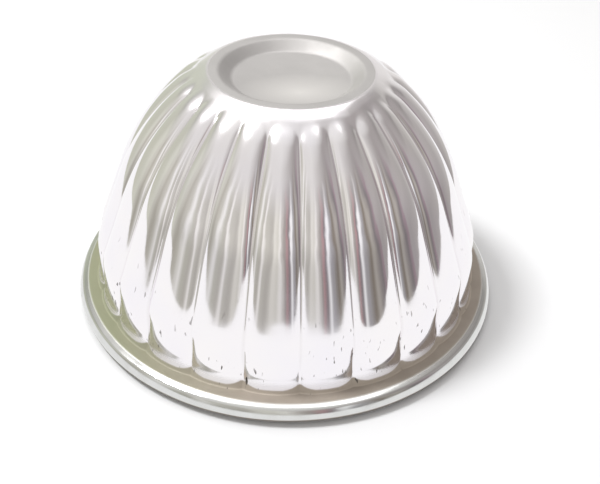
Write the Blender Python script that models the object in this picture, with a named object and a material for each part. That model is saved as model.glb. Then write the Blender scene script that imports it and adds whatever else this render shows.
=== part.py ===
"""Aluminium jelly mould, standing upside down on its rolled rim.

One disc of sheet is drawn into a fluted dome. Its base has a shallow recess, and
its edge is curled round a ring of wire, which stiffens the mouth. The origin is
the centre of the mouth, in the plane that the rim stands on, with +Z up through
the middle of the base. All values are in metres and radians.
"""
import math

import bmesh
import bpy

MM = 0.001

# Overall sizes
RIM_DIAMETER = 100.0 * MM
HEIGHT = 55.3 * MM
SHEET = 0.7 * MM

# Rolled rim: the curl is a polygon in section and stands on one of its flats
BEAD_RADIUS = 2.35 * MM
BEAD_STEP = math.radians(36)
CURL_STEPS = 7
BEAD_CENTRE_RADIUS = RIM_DIAMETER / 2 - BEAD_RADIUS
BEAD_CENTRE_HEIGHT = BEAD_RADIUS * math.cos(BEAD_STEP / 2)
FLANGE_HEIGHT = BEAD_CENTRE_HEIGHT + BEAD_RADIUS
WIRE_RADIUS = 1.25 * MM

# Base: a flat ring to stand on, round a recess with gentle sides and a dished floor
RING_OUTER_RADIUS = 17.7 * MM
RING_INNER_RADIUS = 16.1 * MM
RECESS_DEPTH = 2.1 * MM
RECESS_CENTRE_DEPTH = 2.6 * MM
RECESS_SLOPE = math.radians(40)
RECESS_BEND_RADIUS = 1.2 * MM

# Wall, from the ring down: shoulder, dome, cone, bend, and a nearly upright foot
SHOULDER_EDGE_RADIUS = 2.0 * MM
SHOULDER_EDGE_SWEEP = math.radians(20.6)
SHOULDER_RADIUS = 21.0 * MM
SHOULDER_SWEEP = math.radians(21.2)
DOME_RADIUS = 49.5 * MM
DOME_SWEEP = math.radians(27.0)
CONE_LENGTH = 15.5 * MM
BEND_RADIUS = 12.0 * MM
DRAFT = math.radians(2.0)
FOOT_FILLET = 0.5 * MM

# Flutes: rounded lobes between narrow creases, with rounded tips at the shoulder
FLUTES = 24
FLUTE_DEPTH = 1.1 * MM
TIP_DEPTH = 0.25 * MM
TIP_LENGTH = 4.0 * MM
DEEPENING_LENGTH = 8.0 * MM
# The share of the depth that comes suddenly at the crease, and how suddenly
CREASE_SHARE = 0.35
CREASE_SHARPNESS = 7.0
# Places across one flute, from one crease (-1) past the crest (0) to the next
COLUMNS = (-1.0, -0.82, -0.48, 0.0, 0.48, 0.82)

# Plain rings have half as many points as fluted ones
FLUTED_COUNT = FLUTES * len(COLUMNS)
PLAIN_COUNT = FLUTED_COUNT // 2


def trace(radius, height, heading, legs):
    """Follows the section of the sheet and returns its rows.

    The heading is 0 outwards and a right angle straight down. A leg is a bend
    radius, a sweep and a number of steps, or None, a length and a number of steps
    for a straight run. A row is its radius, height, heading and distance.
    """
    rows = [(radius, height, heading, 0.0)]
    distance = 0.0
    for bend, amount, steps in legs:
        for _ in range(steps):
            turn = 0.0 if bend is None else amount / steps
            length = amount / steps if bend is None else 2 * bend * math.sin(abs(turn) / 2)
            middle = heading + turn / 2
            radius += length * math.cos(middle)
            height -= length * math.sin(middle)
            heading += turn
            distance += length
            rows.append((radius, height, heading, distance))
    return rows


def base_rows():
    """The recess and the ring: from the dished floor up to the flat ring's outer edge."""
    bend_rise = RECESS_BEND_RADIUS * (1 - math.cos(RECESS_SLOPE))
    bend_reach = RECESS_BEND_RADIUS * math.sin(RECESS_SLOPE)
    slope_rise = RECESS_DEPTH - 2 * bend_rise
    slope_length = slope_rise / math.sin(RECESS_SLOPE)
    floor_radius = RING_INNER_RADIUS - 2 * bend_reach - slope_length * math.cos(RECESS_SLOPE)
    side = trace(floor_radius, HEIGHT - RECESS_DEPTH, 0.0, [
        (RECESS_BEND_RADIUS, -RECESS_SLOPE, 1),
        (None, slope_length, 1),
        (RECESS_BEND_RADIUS, RECESS_SLOPE, 1),
        (None, RING_OUTER_RADIUS - RING_INNER_RADIUS, 1),
    ])
    middle_depth = (RECESS_DEPTH + 3 * RECESS_CENTRE_DEPTH) / 4
    floor = (floor_radius / 2, HEIGHT - middle_depth, 0.0, 0.0)
    return [floor] + side


def wall_rows():
    """The wall: from the ring's outer edge down to the start of the flange."""
    foot_heading = math.pi / 2 - DRAFT
    bend_sweep = foot_heading - SHOULDER_EDGE_SWEEP - SHOULDER_SWEEP - DOME_SWEEP
    legs = [
        (SHOULDER_EDGE_RADIUS, SHOULDER_EDGE_SWEEP, 1),
        (SHOULDER_RADIUS, SHOULDER_SWEEP, 5),
        (DOME_RADIUS, DOME_SWEEP, 2),
        (None, CONE_LENGTH, 1),
        (BEND_RADIUS, bend_sweep, 2),
    ]
    bend_end = trace(RING_OUTER_RADIUS, HEIGHT, 0.0, legs)[-1]
    fillet_drop = FOOT_FILLET * (1 - math.cos(foot_heading))
    foot_length = (bend_end[1] - FLANGE_HEIGHT - fillet_drop) / math.sin(foot_heading)
    legs += [(None, foot_length, 1), (FOOT_FILLET, -foot_heading, 2)]
    return trace(RING_OUTER_RADIUS, HEIGHT, 0.0, legs)


def curl_rows():
    """The rolled edge: from the flange over the bead and round to the sheet's free edge."""
    return trace(BEAD_CENTRE_RADIUS, FLANGE_HEIGHT, 0.0, [
        (BEAD_RADIUS, BEAD_STEP / 2, 1),
        (BEAD_RADIUS, BEAD_STEP * CURL_STEPS, CURL_STEPS),
        (BEAD_RADIUS, BEAD_STEP / 2, 1),
    ])


def hollow(across, below):
    """How far the surface lies under the lobes' crest line.

    across is the place in the flute, from -1 to 1, and below is the distance down
    the wall from the tips of the lobes.
    """
    grown = min(below / DEEPENING_LENGTH, 1.0)
    depth = TIP_DEPTH + (FLUTE_DEPTH - TIP_DEPTH) * grown * (2 - grown)
    rounded = across ** 2 * (1 - CREASE_SHARE + CREASE_SHARE * abs(across) ** CREASE_SHARPNESS)
    short_of_full = 1 - min(below / TIP_LENGTH, 1.0)
    return depth * min(rounded + short_of_full ** 2, 1.0)


def plain_ring(bm, row):
    radius, height = row[0], row[1]
    angles = [2 * math.pi * i / PLAIN_COUNT for i in range(PLAIN_COUNT)]
    return [bm.verts.new((radius * math.cos(a), radius * math.sin(a), height)) for a in angles]


def fluted_ring(bm, row, lean, tip_distance):
    """A ring of the wall, sunk below the crest line along the wall's own inward normal."""
    radius, height, _, distance = row
    pitch = 2 * math.pi / FLUTES
    ring = []
    for flute in range(FLUTES):
        for across in COLUMNS:
            angle = (flute + (across + 1) / 2) * pitch
            sunk = hollow(across, distance - tip_distance)
            out = radius - sunk * math.sin(lean)
            up = height - sunk * math.cos(lean)
            ring.append(bm.verts.new((out * math.cos(angle), out * math.sin(angle), up)))
    return ring


def join(bm, upper, lower):
    """Faces between two rings; where one has twice the points, three triangles a step."""
    if len(upper) == len(lower):
        for i, corner in enumerate(upper):
            bm.faces.new((corner, upper[i - 1], lower[i - 1], lower[i]))
        return
    coarse, fine = sorted((upper, lower), key=len)
    flip = coarse is lower
    for i, corner in enumerate(coarse):
        before = coarse[i - 1]
        a, b, c = fine[2 * i - 2], fine[2 * i - 1], fine[2 * i]
        for face in ((before, a, b), (before, b, corner), (corner, b, c)):
            bm.faces.new(reversed(face) if flip else face)


def make_shell():
    """The drawn sheet: its outer surface, then the sheet's thickness inwards."""
    bm = bmesh.new()
    base = [plain_ring(bm, row) for row in base_rows()]
    wall = wall_rows()
    # The shoulder's edge is the last plain ring, and the lobes' tips start one row on
    tip_distance = wall[2][3]
    shoulder = plain_ring(bm, wall[1])
    fluted = []
    lean = 0.0
    for row in wall[2:]:
        lean = max(lean, row[2])
        fluted.append(fluted_ring(bm, row, lean, tip_distance))
    curl = [plain_ring(bm, row) for row in curl_rows()]
    rings = base + [shoulder] + fluted + curl
    for upper, lower in zip(rings, rings[1:]):
        join(bm, upper, lower)
    centre = bm.verts.new((0.0, 0.0, HEIGHT - RECESS_CENTRE_DEPTH))
    for i, corner in enumerate(rings[0]):
        bm.faces.new((centre, rings[0][i - 1], corner))
    bmesh.ops.recalc_face_normals(bm, faces=bm.faces)
    shell = finish(bm, "fluted_shell")
    sheet = shell.modifiers.new("Sheet", "SOLIDIFY")
    sheet.thickness = SHEET
    sheet.offset = -1.0
    sheet.use_even_offset = True
    sheet.use_quality_normals = True
    return shell


def make_wire():
    """The wire ring, turned about the axis inside the curl."""
    bm = bmesh.new()
    sides = round(2 * math.pi / BEAD_STEP)
    section = []
    for i in range(sides):
        angle = BEAD_STEP * i
        section.append(bm.verts.new((
            BEAD_CENTRE_RADIUS + WIRE_RADIUS * math.cos(angle), 0.0,
            BEAD_CENTRE_HEIGHT + WIRE_RADIUS * math.sin(angle))))
    edges = [bm.edges.new((section[i - 1], section[i])) for i in range(sides)]
    bmesh.ops.spin(bm, geom=section + edges, cent=(0, 0, 0), axis=(0, 0, 1),
                   angle=2 * math.pi, steps=PLAIN_COUNT, use_merge=True)
    bmesh.ops.recalc_face_normals(bm, faces=bm.faces)
    return finish(bm, "rim_wire")


def finish(bm, name):
    mesh = bpy.data.meshes.new(name)
    bm.to_mesh(mesh)
    bm.free()
    mesh.shade_smooth()
    mesh.set_sharp_from_angle(angle=math.radians(40))
    thing = bpy.data.objects.new(name, mesh)
    bpy.context.collection.objects.link(thing)
    return thing


def metal(name, colour, roughness):
    material = bpy.data.materials.new(name)
    material.use_nodes = True
    shader = material.node_tree.nodes["Principled BSDF"]
    shader.inputs["Base Color"].default_value = (*colour, 1.0)
    shader.inputs["Metallic"].default_value = 1.0
    shader.inputs["Roughness"].default_value = roughness
    return material


def main():
    for thing in list(bpy.data.objects):
        bpy.data.objects.remove(thing, do_unlink=True)
    shell = make_shell()
    shell.data.materials.append(metal("drawn_aluminium", (0.80, 0.79, 0.77), 0.18))
    wire = make_wire()
    wire.data.materials.append(metal("aluminium_wire", (0.70, 0.69, 0.68), 0.40))
    mould = bpy.data.objects.new("jelly_mould", None)
    bpy.context.collection.objects.link(mould)
    shell.parent = mould
    wire.parent = mould


main()
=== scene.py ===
# %% [markdown]
# # An aluminium jelly mould
#
# The mould is one sheet of aluminium, drawn in a press into a fluted dome and
# curled round a wire at its edge. It stands upside down, with its base on top.
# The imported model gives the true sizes. This script dresses it: a smooth fluted
# shell in place of the coarse one, its finishes, the studio and the camera.

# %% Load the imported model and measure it
import math

import bpy
from mathutils import Matrix, Vector


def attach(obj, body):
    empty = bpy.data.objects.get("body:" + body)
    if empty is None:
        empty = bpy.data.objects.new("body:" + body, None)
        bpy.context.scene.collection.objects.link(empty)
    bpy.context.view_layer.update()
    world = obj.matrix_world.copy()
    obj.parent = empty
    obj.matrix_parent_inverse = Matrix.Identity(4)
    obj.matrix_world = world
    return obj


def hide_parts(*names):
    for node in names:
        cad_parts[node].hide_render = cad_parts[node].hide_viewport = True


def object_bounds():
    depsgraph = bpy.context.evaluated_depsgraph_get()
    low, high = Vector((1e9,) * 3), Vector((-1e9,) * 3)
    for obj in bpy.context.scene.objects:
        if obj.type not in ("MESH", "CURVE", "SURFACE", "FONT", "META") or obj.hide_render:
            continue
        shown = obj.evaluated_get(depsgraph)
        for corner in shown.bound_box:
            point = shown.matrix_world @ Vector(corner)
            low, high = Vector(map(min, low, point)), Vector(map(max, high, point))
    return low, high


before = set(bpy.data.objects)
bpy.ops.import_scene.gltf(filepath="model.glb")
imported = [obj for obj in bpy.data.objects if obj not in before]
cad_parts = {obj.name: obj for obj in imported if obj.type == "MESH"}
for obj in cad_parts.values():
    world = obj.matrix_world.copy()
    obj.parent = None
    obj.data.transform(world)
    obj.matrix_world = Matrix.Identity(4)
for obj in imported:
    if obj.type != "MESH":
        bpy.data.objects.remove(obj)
cad_low, cad_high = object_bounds()

MM = 0.001
RIM_RADIUS = cad_high.x
HEIGHT = cad_high.z
scene = bpy.context.scene
# The Standard view shows a colour as it is written
scene.view_settings.view_transform = "Standard"
print(f"rim {2 * RIM_RADIUS / MM:.1f} mm across, height {HEIGHT / MM:.1f} mm")

# %% [markdown]
# ## The camera
#
# A photograph's perspective comes from where the camera stands, and its framing
# from the lens. The camera was fitted to the outline of the rim, the base and the
# wall. It stands close, about 160 mm away and 130 mm up, so the base looks large and
# the wall leans in.

# %% Place the camera
CAMERA_AZIMUTH = math.radians(-94.19)
CAMERA_DISTANCE = 162.62 * MM
CAMERA_HEIGHT = 133.25 * MM
HEADING = math.radians(-5.328)
TILT = math.radians(52.698)
ROLL = math.radians(2.329)
LENS = 50.16

camera_data = bpy.data.cameras.new("camera")
camera_data.lens = LENS
camera_data.sensor_width = 36.0
camera_data.clip_start = 0.01
camera = bpy.data.objects.new("camera", camera_data)
scene.collection.objects.link(camera)
towards_camera = Vector((math.cos(CAMERA_AZIMUTH), math.sin(CAMERA_AZIMUTH), 0.0))
camera.location = towards_camera * CAMERA_DISTANCE + Vector((0.0, 0.0, CAMERA_HEIGHT))
turn = Matrix.Rotation(HEADING, 3, "Z") @ Matrix.Rotation(TILT, 3, "X") @ Matrix.Rotation(ROLL, 3, "Z")
camera.rotation_euler = turn.to_euler()
scene.camera = camera
print(f"camera {camera.location.length / MM:.0f} mm from the mouth's centre")

# %% [markdown]
# ## Two helpers
#
# Colours are written as on a colour picker, in sRGB hex, and turned to the linear
# values that Blender computes with. Nodes are added by one small function: its
# second argument gives each input a value, a node or a socket.

# %% Colour and node helpers
def linear(text):
    """The linear colour of an sRGB hex such as "F5F2EE"."""
    channels = [int(text[i:i + 2], 16) / 255 for i in (0, 2, 4)]
    return tuple(c / 12.92 if c <= 0.04045 else ((c + 0.055) / 1.055) ** 2.4 for c in channels) + (1.0,)


def add(tree, kind, inputs=None, **settings):
    """Adds a node, sets its properties, then fills its inputs by name or by number."""
    node = tree.nodes.new(kind)
    for name, value in settings.items():
        setattr(node, name, value)
    for key, source in (inputs or {}).items():
        usable = [s for s in node.inputs if s.enabled]
        socket = usable[key] if isinstance(key, int) else next(s for s in usable if s.name == key)
        if isinstance(source, bpy.types.Node):
            source = next(s for s in source.outputs if s.enabled)
        if isinstance(source, bpy.types.NodeSocket):
            tree.links.new(source, socket)
        else:
            socket.default_value = source
    return node


# %% [markdown]
# ## The section of the sheet
#
# Cut the mould down the middle and the cut edge is one long line: from the centre
# of the base, down the wall, out along the flange and round the curl. A pen that
# walks and turns draws it well, because each bend is then a radius and an angle,
# and neighbouring bends always meet smoothly. These are the sizes of the packed
# model, walked in finer steps, with a softer recess and a small flare at the foot.

# %% A pen that walks along the section
def trace(radius, height, heading, legs):
    """Rows of (radius, height, heading, distance). Heading 0 is outward, a right angle is down.

    A leg is a bend radius, a sweep and a number of steps, or None, a length and a
    number of steps where the sheet is straight.
    """
    rows = [(radius, height, heading, 0.0)]
    distance = 0.0
    for bend, amount, steps in legs:
        for _ in range(steps):
            angle = 0.0 if bend is None else amount / steps
            length = amount / steps if bend is None else 2 * bend * math.sin(abs(angle) / 2)
            middle = heading + angle / 2
            radius += length * math.cos(middle)
            height -= length * math.sin(middle)
            heading += angle
            distance += length
            rows.append((radius, height, heading, distance))
    return rows


# %% The base: a dished recess inside a flat ring
RING_OUTER_RADIUS = 17.7 * MM
RING_INNER_RADIUS = 16.1 * MM
RECESS_DEPTH = 2.1 * MM
RECESS_CENTRE_DEPTH = 2.6 * MM
RECESS_SLOPE = math.radians(38)
RECESS_BEND_RADIUS = 1.6 * MM
FLOOR_STEPS = 7

bend_rise = RECESS_BEND_RADIUS * (1 - math.cos(RECESS_SLOPE))
bend_reach = RECESS_BEND_RADIUS * math.sin(RECESS_SLOPE)
slope_length = (RECESS_DEPTH - 2 * bend_rise) / math.sin(RECESS_SLOPE)
floor_radius = RING_INNER_RADIUS - 2 * bend_reach - slope_length * math.cos(RECESS_SLOPE)
base_rows = []
for step in range(FLOOR_STEPS):
    out = step / FLOOR_STEPS
    depth = RECESS_CENTRE_DEPTH + (RECESS_DEPTH - RECESS_CENTRE_DEPTH) * out ** 2
    base_rows.append((floor_radius * out, HEIGHT - depth, 0.0, 0.0))
base_rows += trace(floor_radius, HEIGHT - RECESS_DEPTH, 0.0, [
    (RECESS_BEND_RADIUS, -RECESS_SLOPE, 7),
    (None, slope_length, 2),
    (RECESS_BEND_RADIUS, RECESS_SLOPE, 7),
    (None, RING_OUTER_RADIUS - RING_INNER_RADIUS, 2),
])
print(f"base: {len(base_rows)} rows, recess floor {2 * floor_radius / MM:.1f} mm across")

# %% The wall: shoulder, dome, cone, bend and a nearly upright foot
# Each leg is a bend radius, a sweep and a number of steps, and the cone is straight
SHOULDER_EDGE = (2.0 * MM, math.radians(20.6), 4)
SHOULDER = (21.0 * MM, math.radians(21.2), 20)
DOME = (49.5 * MM, math.radians(27.0), 20)
CONE = (None, 15.5 * MM, 10)
BEND_RADIUS = 12.0 * MM
DRAFT = math.radians(2.0)
FLARE_RADIUS = 9.0 * MM
FLARE_SWEEP = math.radians(20)
FOOT_FILLET = 0.4 * MM
FLANGE_HEIGHT = 4.585 * MM

foot_heading = math.pi / 2 - DRAFT
legs = [SHOULDER_EDGE, SHOULDER, DOME, CONE]
bend_sweep = foot_heading - sum(amount for bend, amount, _ in legs if bend)
legs.append((BEND_RADIUS, bend_sweep, 8))
bend_end = trace(RING_OUTER_RADIUS, HEIGHT, 0.0, legs)[-1]
# The foot flares out a little before it turns into the flange
corner = [(FLARE_RADIUS, -FLARE_SWEEP, 5), (FOOT_FILLET, FLARE_SWEEP - foot_heading, 6)]
corner_drop = -trace(0.0, 0.0, foot_heading, corner)[-1][1]
foot_length = (bend_end[1] - FLANGE_HEIGHT - corner_drop) / math.sin(foot_heading)
legs += [(None, foot_length, 4)] + corner
wall_rows = trace(RING_OUTER_RADIUS, HEIGHT, 0.0, legs)
print(f"wall: {len(wall_rows)} rows, foot {2 * bend_end[0] / MM:.1f} mm across")

# %% The rim: a flange, then a full curl that stands on the table
# The curl is a little flat on top and outside, as rolling leaves it. Its legs are
# drawn at a free size first, with bend radii in millimetres, and then scaled so that
# it just reaches the table.
CURL = (
    (1.5, math.radians(13), 3),
    (20.0, math.radians(4), 3),
    (1.2, math.radians(42), 8),
    (6.0, math.radians(10), 3),
    (2.2, math.radians(81), 10),
    (2.6, math.radians(138), 14),
)
free = trace(0.0, 0.0, 0.0, CURL)
curl_scale = FLANGE_HEIGHT / -min(height for _, height, _, _ in free)
curl_start = RIM_RADIUS - curl_scale * max(radius for radius, _, _, _ in free)
flange_width = curl_start - wall_rows[-1][0]
rim_rows = trace(wall_rows[-1][0], FLANGE_HEIGHT, 0.0, [(None, flange_width, 2)]
                 + [(bend * curl_scale, sweep, steps) for bend, sweep, steps in CURL])
print(f"rim: flange {flange_width / MM:.2f} mm wide, curl {curl_scale / MM:.3f} times its free size")

# %% [markdown]
# ## The section as a mesh that carries its own notes
#
# Geometry Nodes can read named attributes from points, so each point of the
# section is given the facts that the flutes need there: how far the sheet leans
# over, how much of a flute it may have, the distance walked so far, how dull it
# is and which zone it is in. Working them out here keeps the node tree short.

# %% Where the sheet is dull, and where its flutes are shallow
# The buffing pad doesn't reach the corner at the foot, so the dullness rises over the
# last 4.6 mm of wall. Over the last 8 mm the creases lose half of their depth, and
# halfway across the flange a quarter is left.
DULL_REACH = 4.6 * MM
SHALLOW_REACH = 8.0 * MM
FOOT_SHARE = 0.5
FLANGE_SHARE = 0.25
# A brown film covers the flange, and grime the edge that stands on tables, where it also
# paints the contact shadow. Its mark is above 1, the most that the film can have, so
# that a material can tell the two apart.
FILM_WIDTH = 2.2 * MM
GRIME_AND_SHADE_HEIGHT = 1.9 * MM
GRIME_AND_SHADE_MARK = 2.0
print(f"foot: dull over {DULL_REACH / MM:.1f} mm, creases shallow over {SHALLOW_REACH / MM:.1f} mm")

# %% Give every row its lean, share of a flute, distance, dullness and zone
BASE, WALL, RIM = 0, 1, 2
section = []
lean = 0.0
walked = 0.0
last = None
for zone, rows in ((BASE, base_rows), (WALL, wall_rows), (RIM, rim_rows)):
    for number, (radius, height, heading, distance) in enumerate(rows):
        # A zone's first row is the last row of the zone before
        if zone != BASE and number == 0:
            continue
        if last:
            walked += math.hypot(radius - last[0], height - last[1])
        last = (radius, height)
        share, dull = 0.0, 0.0
        if zone == BASE:
            wall_start = walked
        elif zone == WALL:
            lean = max(lean, heading)
            to_foot = wall_rows[-1][3] - distance
            share = FOOT_SHARE + (1 - FOOT_SHARE) * min(to_foot / SHALLOW_REACH, 1.0)
            dull = max(1 - to_foot / DULL_REACH, 0.0)
        else:
            share = FLANGE_SHARE if number == 1 else 0.0
            dull = GRIME_AND_SHADE_MARK if height < GRIME_AND_SHADE_HEIGHT else max(1 - distance / (2 * FILM_WIDTH), 0.0)
        section.append({"place": (radius, 0.0, height), "lean": lean, "share": share,
                        "along": walked, "dull": dull, "zone": float(zone)})
print(f"section: {len(section)} points, {walked / MM:.1f} mm long, wall from {wall_start / MM:.1f} mm")

# %% Build the section's mesh
def section_mesh(name, points):
    mesh = bpy.data.meshes.new(name)
    mesh.from_pydata([p["place"] for p in points], [(i, i + 1) for i in range(len(points) - 1)], [])
    for note in ("lean", "share", "along", "dull", "zone"):
        mesh.attributes.new(note, "FLOAT", "POINT").data.foreach_set("value", [p[note] for p in points])
    return mesh


shell = bpy.data.objects.new("fluted_sheet", section_mesh("fluted_sheet", section))
scene.collection.objects.link(shell)
print(f"{shell.name}: {len(shell.data.vertices)} points joined by {len(shell.data.edges)} edges")

# %% [markdown]
# ## Finishes
#
# All of it is the same metal, commercially pure aluminium, and the finish is what
# differs: polished on the wall, satin on the base, rolled on the rim, and dulled
# inside. Each finish starts from bare metal, and then gets what its making and its
# use have left on it. Patterns that follow the sheet read its map and its notes, and
# the others read Object coordinates, so every pattern stays put on the metal.

# %% Helpers: a new material, a node's output, a pattern's scale, a tree's size so far
def new_material(name):
    material = bpy.data.materials.new(name)
    material.use_nodes = True
    material.node_tree.nodes.clear()
    return material, material.node_tree


def result(node):
    """The first output in use, for nodes whose outputs share a name."""
    return next(s for s in node.outputs if s.enabled)


def per_metre(size):
    """The scale of a noise whose shapes have that size: how many of them fit in a metre."""
    return float(round(1 / size))


def report(tree, made):
    """Prints what a cell has added to a node tree, and the tree's size so far."""
    print(f"{made}: {len(tree.nodes)} nodes so far")


# %% [markdown]
# ## The polished wall
#
# The wall was polished in the press and buffed, so it mirrors the room, and its
# colour is mostly the room's. The rest of its look is how it was made and used: faint
# lines from the drawing, patches that were buffed less, a film that climbs out of the
# corner at the foot, and some pits. All of these are noise or notes of the section,
# because a drawn picture of them would blur close up.

# %% Polished wall: what the sheet says about each place
polished, tree = new_material("polished drawn aluminium")
position = add(tree, "ShaderNodeTexCoord").outputs["Object"]
apart = add(tree, "ShaderNodeSeparateXYZ", {"Vector": position})
height = apart.outputs["Z"]
groove = add(tree, "ShaderNodeAttribute", attribute_name="groove").outputs["Fac"]
dull = add(tree, "ShaderNodeAttribute", attribute_name="dull").outputs["Fac"]
sheet_map = add(tree, "ShaderNodeUVMap", uv_map="sheet_map")
report(tree, "polished wall, what it reads")

# %% Faint drawing lines, and how well each place was buffed
# Drawing lines run down the wall, 25 mm long. Real ones are finer, and these are as
# coarse as they need to show: seven in 5 mm round it.
LINE_SPACING = 5 * MM / 7
LINE_LENGTH = 25 * MM
lines_map = add(tree, "ShaderNodeMapping", {"Vector": sheet_map, "Scale": (
    per_metre(LINE_SPACING), per_metre(LINE_LENGTH), 1.0)})
lines = add(tree, "ShaderNodeTexNoise", {"Vector": lines_map, "Scale": 1.0, "Detail": 2.0})
bump = add(tree, "ShaderNodeBump", {"Height": lines, "Strength": 0.10, "Distance": 0.03 * MM})
# Buffing leaves patches that are a little less bright
BUFFED_PATCH = 12.5 * MM
patches = add(tree, "ShaderNodeTexNoise", {"Vector": position, "Scale": per_metre(BUFFED_PATCH),
                                           "Detail": 3.0})
buffed = add(tree, "ShaderNodeMapRange", {"Value": patches, "From Min": 0.35, "From Max": 0.7,
                                          "To Min": 0.05, "To Max": 0.10})
# The shoulder turns satin towards the base, over its topmost 7 mm
SATIN_START = HEIGHT - 7 * MM
shoulder = add(tree, "ShaderNodeMapRange", {"Value": height, "From Min": SATIN_START, "From Max": HEIGHT})
shaded = add(tree, "ShaderNodeMix", {"Factor": shoulder, "A": buffed, "B": 0.26}, data_type="FLOAT")
# The buffing pad hardly reached the lowest 3 mm
unreached = add(tree, "ShaderNodeMapRange", {"Value": dull, "From Min": 0.35, "From Max": 0.60})
unbuffed = add(tree, "ShaderNodeMix", {"Factor": unreached, "A": result(shaded), "B": 0.33},
               data_type="FLOAT")
report(tree, "drawing lines and buffing")

# %% The metal's own colour, with a thin dull film in the creases
tint = add(tree, "ShaderNodeMix", {"Factor": patches, "A": linear("FBF8F6"), "B": linear("F4F1F9")},
           data_type="RGBA")
film = add(tree, "ShaderNodeMapRange", {"Value": groove, "From Min": 0.8, "From Max": 1.0,
                                        "To Min": 0.0, "To Max": 0.08})
colour = add(tree, "ShaderNodeMix", {"Factor": film, "A": result(tint), "B": linear("9C968C")},
             data_type="RGBA")
report(tree, "colour of the metal")

# %% The flange's brown film climbs the wall
# It climbs 1 mm on the lobes and 2 mm in the creases
in_crease = add(tree, "ShaderNodeMapRange", {"Value": groove, "From Min": 0.08, "From Max": 0.52,
                                             "To Min": 0.0, "To Max": 0.24})
climb = add(tree, "ShaderNodeMath", {0: dull, 1: in_crease}, operation="ADD")
climbed = add(tree, "ShaderNodeMapRange", {"Value": climb, "From Min": 0.75, "From Max": 0.82})
# It is darker and greener on the left, from 10 mm beside the axis on: painted shade, and a painted
# reflection of the room's green there
LEFT_SHADE_AND_REFLECTION_FROM = -10 * MM
LEFT_SHADE_AND_REFLECTION_AT = -40 * MM
left = add(tree, "ShaderNodeMapRange", {"Value": apart.outputs["X"], "From Min": LEFT_SHADE_AND_REFLECTION_FROM,
                                        "From Max": LEFT_SHADE_AND_REFLECTION_AT})
brown = add(tree, "ShaderNodeMix", {"Factor": left, "A": linear("BBB1A5"), "B": linear("969880")},
            data_type="RGBA")
colour = add(tree, "ShaderNodeMix", {"Factor": climbed, "A": result(colour), "B": result(brown)},
             data_type="RGBA")
metallic = add(tree, "ShaderNodeMix", {"Factor": climbed, "A": 1.0, "B": 0.1}, data_type="FLOAT")
roughness = add(tree, "ShaderNodeMix", {"Factor": climbed, "A": result(unbuffed), "B": 0.7},
                data_type="FLOAT")
report(tree, "brown film")

# %% Pits and short scratches on the lower wall, up to 0.4 mm wide and 1.5 mm long
# The noise's shapes are larger than the pits, because only their tops are pitted
PIT_SPACING = 1 * MM
PIT_SPACING_DOWN = 3.03 * MM
PITS_END, PITS_START = 26 * MM, 12 * MM
PIT_CLUSTER = 7.7 * MM
pit_map = add(tree, "ShaderNodeMapping", {"Vector": sheet_map, "Scale": (
    per_metre(PIT_SPACING), per_metre(PIT_SPACING_DOWN), 1.0)})
specks = add(tree, "ShaderNodeTexNoise", {"Vector": pit_map, "Scale": 1.0, "Detail": 1.0},
             noise_dimensions="2D")
pit = add(tree, "ShaderNodeMapRange", {"Value": specks, "From Min": 0.72, "From Max": 0.78})
low_down = add(tree, "ShaderNodeMapRange", {"Value": height, "From Min": PITS_START, "From Max": PITS_END,
                                            "To Min": 1.0, "To Max": 0.0})
clusters = add(tree, "ShaderNodeTexNoise", {"Vector": position, "Scale": per_metre(PIT_CLUSTER),
                                            "Detail": 2.0})
some = add(tree, "ShaderNodeMapRange", {"Value": clusters, "From Min": 0.47, "From Max": 0.54})
pit = add(tree, "ShaderNodeMath", {0: pit, 1: low_down}, operation="MULTIPLY")
pit = add(tree, "ShaderNodeMath", {0: pit, 1: some}, operation="MULTIPLY")
colour = add(tree, "ShaderNodeMix", {"Factor": pit, "A": result(colour), "B": linear("5E5954")},
             data_type="RGBA")
report(tree, "pits")

# %% Put the polished finish together
shader = add(tree, "ShaderNodeBsdfPrincipled", {"Base Color": result(colour), "Metallic": result(metallic),
                                                "Roughness": result(roughness), "Normal": bump})
add(tree, "ShaderNodeOutputMaterial", {"Surface": shader})
print(f"{polished.name}: {len(tree.nodes)} nodes")

# %% [markdown]
# ## The satin base
#
# The base was buffed with a rotating pad, which leaves fine rings round the axis and
# a satin look: it reflects light softly and no shapes. The rings are far too shallow
# to carve, so a bump gives them. What shows from a step away is how clouds of wear
# change the tone, and a painted highlight: a paler patch on the recess's near side,
# where light falls on the dish.

# %% Rings, clouds and the satin's colour
satin, tree = new_material("satin buffed aluminium")
position = add(tree, "ShaderNodeTexCoord").outputs["Object"]
apart = add(tree, "ShaderNodeSeparateXYZ", {"Vector": position})
flat = add(tree, "ShaderNodeCombineXYZ", {"X": apart.outputs["X"], "Y": apart.outputs["Y"]})
radius = add(tree, "ShaderNodeVectorMath", {0: flat}, operation="LENGTH").outputs["Value"]
# Real rings are finer, and these are as coarse as they need to show
RING_SPACING = 0.25 * MM
rings = add(tree, "ShaderNodeTexNoise", {"W": radius, "Scale": per_metre(RING_SPACING), "Detail": 2.0},
            noise_dimensions="1D")
bump = add(tree, "ShaderNodeBump", {"Height": rings, "Strength": 0.15, "Distance": 0.02 * MM})
CLOUD = 8.3 * MM
clouds = add(tree, "ShaderNodeTexNoise", {"Vector": position, "Scale": per_metre(CLOUD), "Detail": 4.0})
roughness = add(tree, "ShaderNodeMapRange", {"Value": clouds, "From Min": 0.3, "From Max": 0.7,
                                             "To Min": 0.62, "To Max": 0.70})
# The satin's grey is darker than bare aluminium: painted shade, which tones down the bright ceiling that the
# base reflects
colour = add(tree, "ShaderNodeMix", {"Factor": clouds, "A": linear("C2C0BF"), "B": linear("B5B3B2")},
             data_type="RGBA")
report(tree, "rings and clouds on the base")
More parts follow.
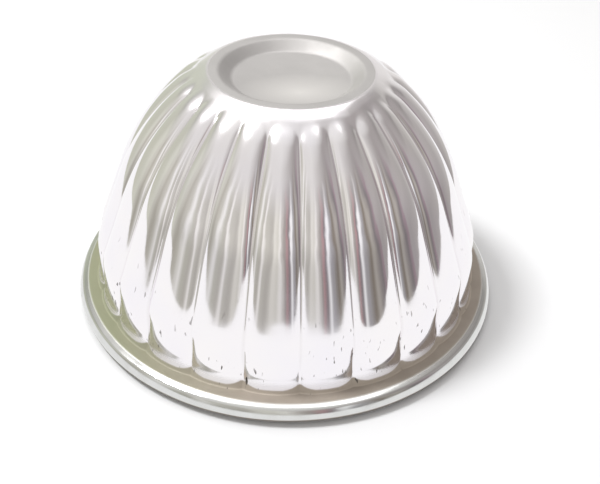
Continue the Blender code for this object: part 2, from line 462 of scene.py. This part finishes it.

# %% A painted highlight 26 by 18 mm on the recess's near side, where light falls
# The paler patch is painted light on the near side of the dish, not wear
HIGHLIGHT_CENTRE = (1.5 * MM, -6 * MM, 0.0)
HIGHLIGHT_HALF_SIZE = (13 * MM, 9 * MM, 1.0)
highlight_map = add(tree, "ShaderNodeMapping", {"Vector": flat, "Location": HIGHLIGHT_CENTRE,
                                            "Scale": HIGHLIGHT_HALF_SIZE}, vector_type="TEXTURE")
painted_highlight = add(tree, "ShaderNodeTexGradient", {"Vector": highlight_map}, gradient_type="SPHERICAL")
colour = add(tree, "ShaderNodeMix",
             {"Factor": painted_highlight.outputs["Fac"], "A": result(colour), "B": linear("D8D6D4")},
             data_type="RGBA")
shader = add(tree, "ShaderNodeBsdfPrincipled", {"Base Color": result(colour), "Metallic": 1.0,
                                                "Roughness": roughness, "Normal": bump})
add(tree, "ShaderNodeOutputMaterial", {"Surface": shader})
print(f"{satin.name}: {len(tree.nodes)} nodes")

# %% [markdown]
# ## The rolled rim
#
# The bead is bright, because cloths and hands rub it. Behind it the flange lies in a
# corner that no cloth cleans, and years of use have left a brown film there. Under
# the bead is a dark line of grime, which also paints the contact shadow where the rim
# stands on the table. One material serves all three, because they are one strip of
# metal and the film fades out between them: the section's note on dullness says where.

# %% Where the rim has film, and where it has grime and a painted contact shadow
rolled, tree = new_material("rolled aluminium edge")
position = add(tree, "ShaderNodeTexCoord").outputs["Object"]
dull = add(tree, "ShaderNodeAttribute", attribute_name="dull").outputs["Fac"]
film = add(tree, "ShaderNodeMapRange", {"Value": dull, "From Min": 0.45, "From Max": 0.58})
# Grime under the curl, which also paints the contact shadow where the rim stands on the table
grime_and_shade = add(tree, "ShaderNodeMapRange", {"Value": dull, "From Min": 1.4, "From Max": 1.8})
# Stains of this size, and finer ones in them
STAIN = 3.85 * MM
mottle = add(tree, "ShaderNodeTexNoise", {"Vector": position, "Scale": per_metre(STAIN), "Detail": 3.0})
bump = add(tree, "ShaderNodeBump", {"Height": mottle, "Strength": 0.10, "Distance": 0.05 * MM})
report(tree, "places of film and grime")

# %% The film is matt, and the bead is clean metal
bead_roughness = add(tree, "ShaderNodeMapRange", {"Value": mottle, "From Min": 0.3, "From Max": 0.7,
                                                  "To Min": 0.10, "To Max": 0.20})
roughness = add(tree, "ShaderNodeMix", {"Factor": film, "A": bead_roughness, "B": 0.7}, data_type="FLOAT")
metallic = add(tree, "ShaderNodeMix", {"Factor": film, "A": 1.0, "B": 0.1}, data_type="FLOAT")
# The bead's metal is tinted grey: painted shade, standing in for the table's shadow that its face mirrors
clean = add(tree, "ShaderNodeMix", {"Factor": mottle, "A": linear("E2E3E2"), "B": linear("D5D5D3")},
            data_type="RGBA")
brown = add(tree, "ShaderNodeMix", {"Factor": mottle, "A": linear("AEA499"), "B": linear("9A9085")},
            data_type="RGBA")
# It is darker and greener on the left: painted shade against the window's light there, and a painted
# reflection of the room's green
left = add(tree, "ShaderNodeMapRange", {"Value": add(tree, "ShaderNodeSeparateXYZ", {"Vector": position}),
                                        "From Min": LEFT_SHADE_AND_REFLECTION_FROM, "From Max": LEFT_SHADE_AND_REFLECTION_AT})
brown = add(tree, "ShaderNodeMix", {"Factor": left, "A": result(brown), "B": linear("85876E")},
            data_type="RGBA")
report(tree, "clean metal and film")

# %% Put the rolled finish together
colour = add(tree, "ShaderNodeMix", {"Factor": film, "A": result(clean), "B": result(brown)},
             data_type="RGBA")
# Dark grey: the grime, and a painted contact shadow under the bead
colour = add(tree, "ShaderNodeMix", {"Factor": grime_and_shade, "A": result(colour), "B": linear("7A7672")},
             data_type="RGBA")
shader = add(tree, "ShaderNodeBsdfPrincipled", {"Base Color": result(colour), "Metallic": result(metallic),
                                                "Roughness": result(roughness), "Normal": bump})
add(tree, "ShaderNodeOutputMaterial", {"Surface": shader})
print(f"{rolled.name}: {len(tree.nodes)} nodes")

# %% [markdown]
# ## The inside
#
# The inside was only washed for years, and hot water leaves bare aluminium with a
# dull grey bloom. It still is metal, so only its roughness and tone change, in clouds
# about 11 mm wide.

# %% Washed aluminium, dulled by hot water
dulled, tree = new_material("dulled washed aluminium")
position = add(tree, "ShaderNodeTexCoord").outputs["Object"]
BLOOM_CLOUD = 11.1 * MM
bloom = add(tree, "ShaderNodeTexNoise", {"Vector": position, "Scale": per_metre(BLOOM_CLOUD), "Detail": 5.0})
roughness = add(tree, "ShaderNodeMapRange", {"Value": bloom, "From Min": 0.3, "From Max": 0.7,
                                             "To Min": 0.22, "To Max": 0.42})
colour = add(tree, "ShaderNodeMix", {"Factor": bloom, "A": linear("E4E0DA"), "B": linear("C9C5BE")},
             data_type="RGBA")
shader = add(tree, "ShaderNodeBsdfPrincipled", {"Base Color": colour, "Metallic": 1.0,
                                                "Roughness": roughness})
add(tree, "ShaderNodeOutputMaterial", {"Surface": shader})
print(f"{dulled.name}: {len(tree.nodes)} nodes")

# %% [markdown]
# ## The fluted sheet, by Geometry Nodes
#
# The press's die made every flute by the same rule, so the sheet is a grid with
# that rule applied: one line of the grid for each row of the section, and a fixed
# number of lines across each flute. Every grid point is turned to its place round
# the axis and sunk below the crest line towards the creases. A real mould isn't
# perfect: its creases wander and differ in depth a little, and a fixed seed gives
# the same wander every time.

# %% Make the tree and its named inputs
flutes = bpy.data.node_groups.new("flutes round a section", "GeometryNodeTree")
flutes.interface.new_socket(name="Section", in_out="INPUT", socket_type="NodeSocketGeometry")
flutes.interface.new_socket(name="Sheet", in_out="OUTPUT", socket_type="NodeSocketGeometry")
INPUTS = {
    "Flutes": ("NodeSocketInt", 24),
    "Lines per flute": ("NodeSocketInt", 14),
    "Flute depth": ("NodeSocketFloat", 1.1 * MM),
    "Depth at the tips": ("NodeSocketFloat", 0.15 * MM),
    "Tips start at": ("NodeSocketFloat", wall_start + 2.8 * MM),
    "Tip length": ("NodeSocketFloat", 5.5 * MM),
    "Deepening length": ("NodeSocketFloat", 9.0 * MM),
    "Crease share": ("NodeSocketFloat", 0.25),
    "Crease sharpness": ("NodeSocketFloat", 6.0),
    "Crease wander": ("NodeSocketFloat", math.radians(0.35)),
    "Depth variation": ("NodeSocketFloat", 0.12),
    "Tip variation": ("NodeSocketFloat", 0.8 * MM),
    "Dent depth": ("NodeSocketFloat", 0.10 * MM),
    "Dent size": ("NodeSocketFloat", 9.0 * MM),
    "Seed": ("NodeSocketInt", 6),
    "Base finish": ("NodeSocketMaterial", satin),
    "Wall finish": ("NodeSocketMaterial", polished),
    "Rim finish": ("NodeSocketMaterial", rolled),
}
for name, (kind, _) in INPUTS.items():
    flutes.interface.new_socket(name=name, in_out="INPUT", socket_type=kind)
given = add(flutes, "NodeGroupInput").outputs
print(f"{flutes.name}: {len(INPUTS)} named inputs")

# %% [markdown]
# ## A grid that knows where it is
#
# A grid's points are numbered row by row. So a point's number, divided by how many
# points a row has, gives the row, which is a place on the section. The remainder gives
# the line, which is a place round the axis. Everything else follows from these two.

# %% A grid with one line for each row of the section
section_size = add(flutes, "GeometryNodeAttributeDomainSize", {0: given["Section"]}, component="MESH")
rows = section_size.outputs["Point Count"]
around = add(flutes, "ShaderNodeMath", {0: given["Flutes"], 1: given["Lines per flute"]},
             operation="MULTIPLY")
lines_around = add(flutes, "ShaderNodeMath", {0: around, 1: 1.0}, operation="ADD")
grid = add(flutes, "GeometryNodeMeshGrid", {"Vertices X": rows, "Vertices Y": lines_around}).outputs["Mesh"]
index = add(flutes, "GeometryNodeInputIndex")
row_exact = add(flutes, "ShaderNodeMath", {0: index, 1: lines_around}, operation="DIVIDE")
row = add(flutes, "ShaderNodeMath", {0: row_exact}, operation="FLOOR")
line = add(flutes, "ShaderNodeMath", {0: index, 1: lines_around}, operation="MODULO")
report(flutes, "grid")

# %% Read the section's notes at that row
notes = {}
for note in ("lean", "share", "along", "dull", "zone"):
    attribute = add(flutes, "GeometryNodeInputNamedAttribute", {"Name": note}, data_type="FLOAT")
    notes[note] = add(flutes, "GeometryNodeSampleIndex",
                      {"Geometry": given["Section"], "Value": attribute, "Index": row},
                      data_type="FLOAT", domain="POINT")
place = add(flutes, "GeometryNodeSampleIndex",
            {"Geometry": given["Section"], "Value": add(flutes, "GeometryNodeInputPosition"), "Index": row},
            data_type="FLOAT_VECTOR", domain="POINT")
report(flutes, "the section's notes")

# %% Which flute a line is in, and where across it, from -1 to 1
flute_exact = add(flutes, "ShaderNodeMath", {0: line, 1: given["Lines per flute"]}, operation="DIVIDE")
flute = add(flutes, "ShaderNodeMath", {0: flute_exact}, operation="FLOOR")
part_way = add(flutes, "ShaderNodeMath", {0: flute_exact}, operation="FRACT")
even = add(flutes, "ShaderNodeMath", {0: part_way, 1: 2.0, 2: -1.0}, operation="MULTIPLY_ADD")
# A sine crowds the lines towards the creases, where the sheet bends most
CROWDING = 0.75
right_angle = add(flutes, "ShaderNodeMath", {0: even, 1: math.pi / 2}, operation="MULTIPLY")
crowded = add(flutes, "ShaderNodeMath", {0: right_angle}, operation="SINE")
across = add(flutes, "ShaderNodeMix", {"Factor": CROWDING, "A": even, "B": crowded}, data_type="FLOAT")
half_way = add(flutes, "ShaderNodeMath", {0: across, 1: 0.5, 2: 0.5}, operation="MULTIPLY_ADD")
report(flutes, "place across the flute")

# %% Each crease has its own random amounts, mixed across the flute between two of them
mixed = []
for salt in (0.0, 100.0, 200.0):
    seed = add(flutes, "ShaderNodeMath", {0: given["Seed"], 1: salt}, operation="ADD")
    ends = []
    for step in (0.0, 1.0):
        number = add(flutes, "ShaderNodeMath", {0: flute, 1: step}, operation="ADD")
        crease = add(flutes, "ShaderNodeMath", {0: number, 1: given["Flutes"]}, operation="MODULO")
        ends.append(add(flutes, "FunctionNodeRandomValue",
                        {"Min": -1.0, "Max": 1.0, "ID": crease, "Seed": seed}, data_type="FLOAT"))
    mixed.append(add(flutes, "ShaderNodeMix", {"Factor": half_way, "A": ends[0], "B": ends[1]},
                     data_type="FLOAT"))
wander, vary, tip_shift = mixed
report(flutes, "random amounts")

# %% The angle round the axis
pitch = add(flutes, "ShaderNodeMath", {0: 2 * math.pi, 1: given["Flutes"]}, operation="DIVIDE")
in_flutes = add(flutes, "ShaderNodeMath", {0: flute, 1: half_way}, operation="ADD")
even_angle = add(flutes, "ShaderNodeMath", {0: in_flutes, 1: pitch}, operation="MULTIPLY")
angle = add(flutes, "ShaderNodeMath", {0: wander, 1: given["Crease wander"], 2: even_angle},
            operation="MULTIPLY_ADD")
report(flutes, "angle")

# %% [markdown]
# ## The shape of one flute
#
# Each flute is a rounded lobe between two narrow creases. It starts at the shoulder as
# a rounded tip and deepens down the dome. A formula gives all of it from two places,
# across the flute and down it. The square of the place across makes the round lobe,
# and a higher power, which stays near 0 until the edge, makes the narrow crease.

# %% How far down the flute this is
# The flutes fade in over 2.6 mm, and then deepen fast at first and slowly later
FADE_START = -2.2 * MM
FADE_END = 0.4 * MM

earlier = add(flutes, "ShaderNodeMath", {0: tip_shift, 1: given["Tip variation"], 2: notes["along"]},
              operation="MULTIPLY_ADD")
below = add(flutes, "ShaderNodeMath", {0: earlier, 1: given["Tips start at"]}, operation="SUBTRACT")
fade = add(flutes, "ShaderNodeMapRange", {"Value": below, "From Min": FADE_START, "From Max": FADE_END},
           interpolation_type="SMOOTHSTEP")
grown = add(flutes, "ShaderNodeMapRange",
            {"Value": below, "From Min": 0.0, "From Max": given["Deepening length"]})
left_over = add(flutes, "ShaderNodeMath", {0: 2.0, 1: grown}, operation="SUBTRACT")
eased = add(flutes, "ShaderNodeMath", {0: grown, 1: left_over}, operation="MULTIPLY")
full_depth = add(flutes, "ShaderNodeMix", {"Factor": eased, "A": given["Depth at the tips"],
                                           "B": given["Flute depth"]}, data_type="FLOAT")
report(flutes, "place down the flute")

# %% How hollow the sheet is there: 0 on a crest, 1 in a crease
size_across = add(flutes, "ShaderNodeMath", {0: across}, operation="ABSOLUTE")
squared = add(flutes, "ShaderNodeMath", {0: size_across, 1: 2.0}, operation="POWER")
steep = add(flutes, "ShaderNodeMath", {0: size_across, 1: given["Crease sharpness"]}, operation="POWER")
one_minus = add(flutes, "ShaderNodeMath", {0: 1.0, 1: given["Crease share"]}, operation="SUBTRACT")
creased = add(flutes, "ShaderNodeMath", {0: steep, 1: given["Crease share"], 2: one_minus},
              operation="MULTIPLY_ADD")
rounded = add(flutes, "ShaderNodeMath", {0: squared, 1: creased}, operation="MULTIPLY")
short_of_tip = add(flutes, "ShaderNodeMapRange",
                   {"Value": below, "From Min": 0.0, "From Max": given["Tip length"],
                    "To Min": 1.0, "To Max": 0.0})
tip_fill = add(flutes, "ShaderNodeMath", {0: short_of_tip, 1: 2.0}, operation="POWER")
filled = add(flutes, "ShaderNodeMath", {0: rounded, 1: tip_fill}, operation="ADD")
hollow = add(flutes, "ShaderNodeMath", {0: filled, 1: 1.0}, operation="MINIMUM")
varied = add(flutes, "ShaderNodeMath", {0: vary, 1: given["Depth variation"], 2: 1.0},
             operation="MULTIPLY_ADD")
depth_here = add(flutes, "ShaderNodeMath", {0: full_depth, 1: varied}, operation="MULTIPLY")
allowed = add(flutes, "ShaderNodeMath", {0: notes["share"], 1: fade}, operation="MULTIPLY")
allowed_depth = add(flutes, "ShaderNodeMath", {0: depth_here, 1: allowed}, operation="MULTIPLY")
sunk = add(flutes, "ShaderNodeMath", {0: hollow, 1: allowed_depth}, operation="MULTIPLY")
report(flutes, "how far each point is sunk")

# %% Sink each point along the wall's normal, then turn it to its angle
lean_out = add(flutes, "ShaderNodeMath", {0: notes["lean"]}, operation="SINE")
lean_up = add(flutes, "ShaderNodeMath", {0: notes["lean"]}, operation="COSINE")
normal = add(flutes, "ShaderNodeCombineXYZ", {"X": lean_out, "Z": lean_up})
inward = add(flutes, "ShaderNodeVectorMath", {0: normal, "Scale": sunk}, operation="SCALE")
pressed = add(flutes, "ShaderNodeVectorMath", {0: place, 1: inward}, operation="SUBTRACT")
turned = add(flutes, "ShaderNodeVectorRotate", {"Vector": pressed, "Angle": angle}, rotation_type="Z_AXIS")
formed = add(flutes, "GeometryNodeSetPosition", {"Geometry": grid, "Position": turned})
report(flutes, "fluted surface")

# %% [markdown]
# ## What the finishes need to know
#
# Film gathers in the creases, so the finishes have to know how hollow each place is.
# Drawing lines and scratches follow the sheet, so they need a map of it, round the
# mould and down it. Both are kept on the mesh, where a material finds them by name.

# %% Keep the map of the sheet, in metres, and how hollow each point is
map_x = add(flutes, "ShaderNodeMath", {0: angle, 1: RIM_RADIUS}, operation="MULTIPLY")
sheet_place = add(flutes, "ShaderNodeCombineXYZ", {"X": map_x, "Y": notes["along"]})
# A UV map lives on face corners, but Index counts points, so it's worked out on points
on_points = add(flutes, "GeometryNodeFieldOnDomain", {"Value": sheet_place},
                data_type="FLOAT_VECTOR", domain="POINT")
mapped = add(flutes, "GeometryNodeStoreNamedAttribute",
             {"Geometry": formed, "Name": "sheet_map", "Value": on_points},
             data_type="FLOAT2", domain="CORNER")
hollowed = add(flutes, "ShaderNodeMath", {0: sunk, 1: given["Flute depth"]}, operation="DIVIDE")
stored = mapped
for name, source in (("groove", hollowed), ("dull", notes["dull"]), ("zone", notes["zone"])):
    stored = add(flutes, "GeometryNodeStoreNamedAttribute",
                 {"Geometry": stored, "Name": name, "Value": source},
                 data_type="FLOAT", domain="POINT")
# The grid's first and last lines meet, and in the middle of the base all lines do
SAME_PLACE = 0.01 * MM
closed = add(flutes, "GeometryNodeMergeByDistance", {"Geometry": stored, "Distance": SAME_PLACE})
report(flutes, "notes for the finishes")

# %% [markdown]
# ## Dents, and a finish for each zone
#
# Thin sheet gets soft dents in use, which show only where reflections waver. A noise
# moves the points in and out by less than 0.1 mm. It comes after the flutes, so a dent
# can cross a crease. Then each zone gets its finish, by the note that it carries.

# %% Shallow dents from years of use
here = add(flutes, "GeometryNodeInputPosition")
fineness = add(flutes, "ShaderNodeMath", {0: 1.0, 1: given["Dent size"]}, operation="DIVIDE")
waves = add(flutes, "ShaderNodeTexNoise", {"Vector": here, "Scale": fineness, "Detail": 1.0})
centred = add(flutes, "ShaderNodeMath", {0: waves.outputs["Fac"], 1: 0.5}, operation="SUBTRACT")
push = add(flutes, "ShaderNodeMath", {0: centred, 1: given["Dent depth"]}, operation="MULTIPLY")
surface_normal = add(flutes, "GeometryNodeInputNormal")
shift = add(flutes, "ShaderNodeVectorMath", {0: surface_normal, "Scale": push}, operation="SCALE")
dented = add(flutes, "GeometryNodeSetPosition", {"Geometry": closed, "Offset": shift})
report(flutes, "dents")

# %% Finish the tree: smooth shading, plain mesh, one material for each zone
smooth = add(flutes, "GeometryNodeSetShadeSmooth", {"Geometry": dented})
plain = add(flutes, "GeometryNodeRealizeInstances", {"Geometry": smooth})
zone_here = add(flutes, "GeometryNodeInputNamedAttribute", {"Name": "zone"}, data_type="FLOAT")
painted = add(flutes, "GeometryNodeSetMaterial", {"Geometry": plain, "Material": given["Wall finish"]})
# A face that joins two zones has a value between theirs
for name, limit, side in (("Base finish", 0.5, "LESS_THAN"), ("Rim finish", 1.2, "GREATER_THAN")):
    chosen = add(flutes, "FunctionNodeCompare", {"A": zone_here, "B": limit},
                 data_type="FLOAT", operation=side)
    painted = add(flutes, "GeometryNodeSetMaterial",
                  {"Geometry": painted, "Selection": chosen, "Material": given[name]})
add(flutes, "NodeGroupOutput", {"Sheet": painted})
print(f"{flutes.name}: {len(flutes.nodes)} nodes")

# %% [markdown]
# ## The flutes' result
#
# The tree runs once and its result is kept as a plain mesh. That fixes the list of its
# materials, and the next step can add the inside's finish to the end of that list.

# %% Run the tree on the section and keep the result as a plain mesh
pressing = shell.modifiers.new("Flutes", "NODES")
pressing.node_group = flutes
for item in flutes.interface.items_tree:
    if item.in_out == "INPUT" and item.name in INPUTS:
        pressing[item.identifier] = INPUTS[item.name][1]
evaluated = shell.evaluated_get(bpy.context.evaluated_depsgraph_get())
mesh = bpy.data.meshes.new_from_object(evaluated)
shell.modifiers.clear()
shell.data = mesh
print(f"outer face: {len(mesh.polygons)} faces, materials {[m.name if m else None for m in mesh.materials]}")

# %% [markdown]
# ## The sheet's thickness
#
# Solidify grows the sheet inwards, as the inside of a pressing follows its
# outside. Its material offset gives every new inner face the last material in the
# list, which is the inside's finish.

# %% Thicken the sheet and join it to the model
SHEET = 0.7 * MM
mesh.materials.append(dulled)
thickness = shell.modifiers.new("Sheet", "SOLIDIFY")
thickness.thickness = SHEET
thickness.offset = -1.0
thickness.use_even_offset = True
thickness.use_quality_normals = True
thickness.material_offset = len(mesh.materials) - 1
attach(shell, "root")
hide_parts("fluted_shell")
print(f"{shell.name}: {SHEET / MM:.1f} mm thick, inside finish {dulled.name}")

# %% [markdown]
# ## The wire in the rim
#
# The wire only shows from below, in the gap where the curl ends. Its ring in the
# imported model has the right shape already, so it only needs its finish: bare wire
# that damp has dulled, in small stains.

# %% Dull drawn wire
drawn, tree = new_material("dull drawn aluminium wire")
position = add(tree, "ShaderNodeTexCoord").outputs["Object"]
WIRE_STAIN = 2.5 * MM
stains = add(tree, "ShaderNodeTexNoise", {"Vector": position, "Scale": per_metre(WIRE_STAIN), "Detail": 3.0})
roughness = add(tree, "ShaderNodeMapRange", {"Value": stains, "From Min": 0.3, "From Max": 0.7,
                                             "To Min": 0.35, "To Max": 0.5})
colour = add(tree, "ShaderNodeMix", {"Factor": stains, "A": linear("D2CFCA"), "B": linear("B5B1AA")},
             data_type="RGBA")
shader = add(tree, "ShaderNodeBsdfPrincipled", {"Base Color": colour, "Metallic": 1.0,
                                                "Roughness": roughness})
add(tree, "ShaderNodeOutputMaterial", {"Surface": shader})
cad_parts["rim_wire"].material_slots[0].material = drawn
print(f"rim_wire: {drawn.name}")

# %% [markdown]
# ## The table
#
# The mould stands on a white table that takes its shadow. In the metal the table is
# plain white: Light Path swaps its paint for an even white, only for reflections.

# %% A white table that keeps the shadow
white_table, tree = new_material("white table")
mirrored = add(tree, "ShaderNodeLightPath").outputs["Is Glossy Ray"]
matt = add(tree, "ShaderNodeBsdfDiffuse", {"Color": linear("E8E9EB")})
glow = add(tree, "ShaderNodeEmission", {"Color": linear("FFFFFF"), "Strength": 1.0})
both = add(tree, "ShaderNodeMixShader", {0: mirrored, 1: matt, 2: glow})
add(tree, "ShaderNodeOutputMaterial", {"Surface": both})

# The wall mirrors the table's edges as the lower ends of its dark streaks, so the
# edges are nearer at the sides than in front
TABLE_LEFT, TABLE_RIGHT = -0.24, 0.19
TABLE_FRONT, TABLE_BACK = -2.0, 0.8
corners = [(TABLE_LEFT, TABLE_FRONT, 0.0), (TABLE_RIGHT, TABLE_FRONT, 0.0),
           (TABLE_RIGHT, TABLE_BACK, 0.0), (TABLE_LEFT, TABLE_BACK, 0.0)]
table_mesh = bpy.data.meshes.new("table")
table_mesh.from_pydata(corners, [], [range(4)])
table_mesh.materials.append(white_table)
table = bpy.data.objects.new("table", table_mesh)
scene.collection.objects.link(table)
print(f"table {TABLE_RIGHT - TABLE_LEFT:.2f} m wide and {TABLE_BACK - TABLE_FRONT:.2f} m deep")

# %% [markdown]
# ## The room that the metal mirrors
#
# Polished metal has hardly any look of its own: it shows the room. So the world is
# a small picture of a room, painted by direction. On the camera's side it is a row
# of upright shapes such as curtains, doors and cupboards, which the flutes turn
# into upright streaks. They darken towards the table's height and give way to a
# plain ceiling overhead, darker on the right. The far side is paler near the
# table's height and dim higher up. The camera itself sees white.

# %% The row of upright shapes, by degrees to the left (-) and right (+) of the camera
SHAPES = ((-180, "ECEAE6"), (-150, "D0D4C3"), (-120, "CDCEBF"), (-98, "DBDCCF"), (-88, "D2D1C6"),
          (-78, "BDBAAF"), (-70, "CBC9BF"), (-60, "F6F5F1"), (-50, "C9C8BE"), (-44, "C4C1B9"),
          (-37, "FAF8F4"), (-30, "CCCAC2"), (-20, "C2BFB8"), (-13, "E6E4DC"), (-4, "DDDBD2"),
          (3, "F2F0EB"), (8, "CBC7C2"), (15, "A8A29E"), (20, "B9999A"), (25, "8F888A"),
          (30, "FFFFFF"), (37, "AFADAF"), (46, "8C847A"), (55, "B4AFA8"), (66, "8A8485"),
          (74, "A39298"), (80, "B2ADAC"), (92, "B4AFAD"), (110, "B4B0AD"), (130, "C2BFBB"),
          (155, "EEECE9"))
CEILING_LEFT = "E4E2DF"
CEILING_RIGHT = "A8A3A1"
SKYLIGHT = "EEEDEB"

world = bpy.data.worlds.new("studio")
scene.world = world
world.use_nodes = True
tree = world.node_tree
tree.nodes.clear()
direction = add(tree, "ShaderNodeTexCoord").outputs["Generated"]
facing = add(tree, "ShaderNodeVectorRotate", {"Vector": direction, "Angle": -CAMERA_AZIMUTH},
             rotation_type="Z_AXIS")
apart = add(tree, "ShaderNodeSeparateXYZ", {"Vector": facing})
round_room = add(tree, "ShaderNodeMath", {0: apart.outputs["Y"], 1: apart.outputs["X"]}, operation="ARCTAN2")
# A slow noise bends the edges of the shapes a little
bend = add(tree, "ShaderNodeTexNoise", {"Vector": direction, "Scale": 2.5, "Detail": 3.0})
bend = add(tree, "ShaderNodeMapRange", {"Value": bend, "To Min": -0.22, "To Max": 0.22})
bent = add(tree, "ShaderNodeMath", {0: round_room, 1: bend}, operation="ADD")
on_ramp = add(tree, "ShaderNodeMapRange", {"Value": bent, "From Min": -math.pi, "From Max": math.pi})
row_of_shapes = add(tree, "ShaderNodeValToRGB", {"Fac": on_ramp})
elements = row_of_shapes.color_ramp.elements
elements.remove(elements[1])
elements[0].position = 0.0
elements[0].color = linear(SHAPES[0][1])
for degrees, tone in SHAPES[1:]:
    elements.new((degrees + 180) / 360).color = linear(tone)
row_of_shapes.color_ramp.interpolation = "EASE"

# %% Darker towards the table's height in front, paler there behind, and a plain ceiling
low = add(tree, "ShaderNodeMapRange", {"Value": apart.outputs["Z"], "From Min": 0.0, "From Max": 0.22,
                                       "To Min": 0.78, "To Max": 1.02})
pale = add(tree, "ShaderNodeMapRange", {"Value": apart.outputs["Z"], "From Min": 0.40, "From Max": 0.52,
                                        "To Min": 0.95, "To Max": 0.52})
behind = add(tree, "ShaderNodeMapRange", {"Value": apart.outputs["X"], "From Min": 0.1, "From Max": -0.4})
shade = add(tree, "ShaderNodeMix", {"Factor": behind, "A": low, "B": pale}, data_type="FLOAT")
shaded = add(tree, "ShaderNodeVectorMath", {0: row_of_shapes.outputs["Color"], "Scale": result(shade)},
             operation="SCALE")
high = add(tree, "ShaderNodeMapRange", {"Value": apart.outputs["Z"], "From Min": 0.44, "From Max": 0.72})
zenith = add(tree, "ShaderNodeMapRange", {"Value": apart.outputs["Z"], "From Min": 0.80, "From Max": 1.0})
to_right = add(tree, "ShaderNodeMapRange", {"Value": apart.outputs["Y"], "From Min": -0.1, "From Max": 0.6})
ceiling = add(tree, "ShaderNodeMix",
              {"Factor": to_right, "A": linear(CEILING_LEFT), "B": linear(CEILING_RIGHT)},
              data_type="RGBA")
ceiling = add(tree, "ShaderNodeMix", {"Factor": zenith, "A": result(ceiling), "B": linear(SKYLIGHT)},
              data_type="RGBA")
room = add(tree, "ShaderNodeMix", {"Factor": high, "A": shaded, "B": result(ceiling)}, data_type="RGBA")
from_camera = add(tree, "ShaderNodeLightPath").outputs["Is Camera Ray"]
shown = add(tree, "ShaderNodeMix", {"Factor": from_camera, "A": result(room), "B": linear("FFFFFF")},
            data_type="RGBA")
background = add(tree, "ShaderNodeBackground", {"Color": result(shown), "Strength": 1.0})
add(tree, "ShaderNodeOutputWorld", {"Surface": background})
print(f"{world.name}: {len(SHAPES)} colours round the room, {len(tree.nodes)} nodes")

# %% [markdown]
# ## The lamps
#
# The room gives the metal its streaks. Two lamps add highlights and shape the
# mould's shadow on the table: a large one behind and above it, and a small one on
# the left.

# %% A softbox behind and above, and a window on the left
LIT_POINT = Vector((0.0, 0.0, 0.03))


def soft_light(name, place, width, height, power):
    """A rectangular lamp that faces the mould, in metres and watts."""
    data = bpy.data.lights.new(name, "AREA")
    data.shape = "RECTANGLE"
    data.size = width
    data.size_y = height
    data.energy = power
    lamp = bpy.data.objects.new(name, data)
    scene.collection.objects.link(lamp)
    lamp.location = place
    lamp.rotation_euler = (LIT_POINT - Vector(place)).to_track_quat("-Z", "Y").to_euler()
    print(f"{name}: {width} by {height} m, {power} W")


soft_light("softbox behind and above", (0.03, 0.26, 0.76), width=0.64, height=0.46, power=1.25)
soft_light("window on the left", (-0.33, 0.05, 0.60), width=0.13, height=0.13, power=3.0)
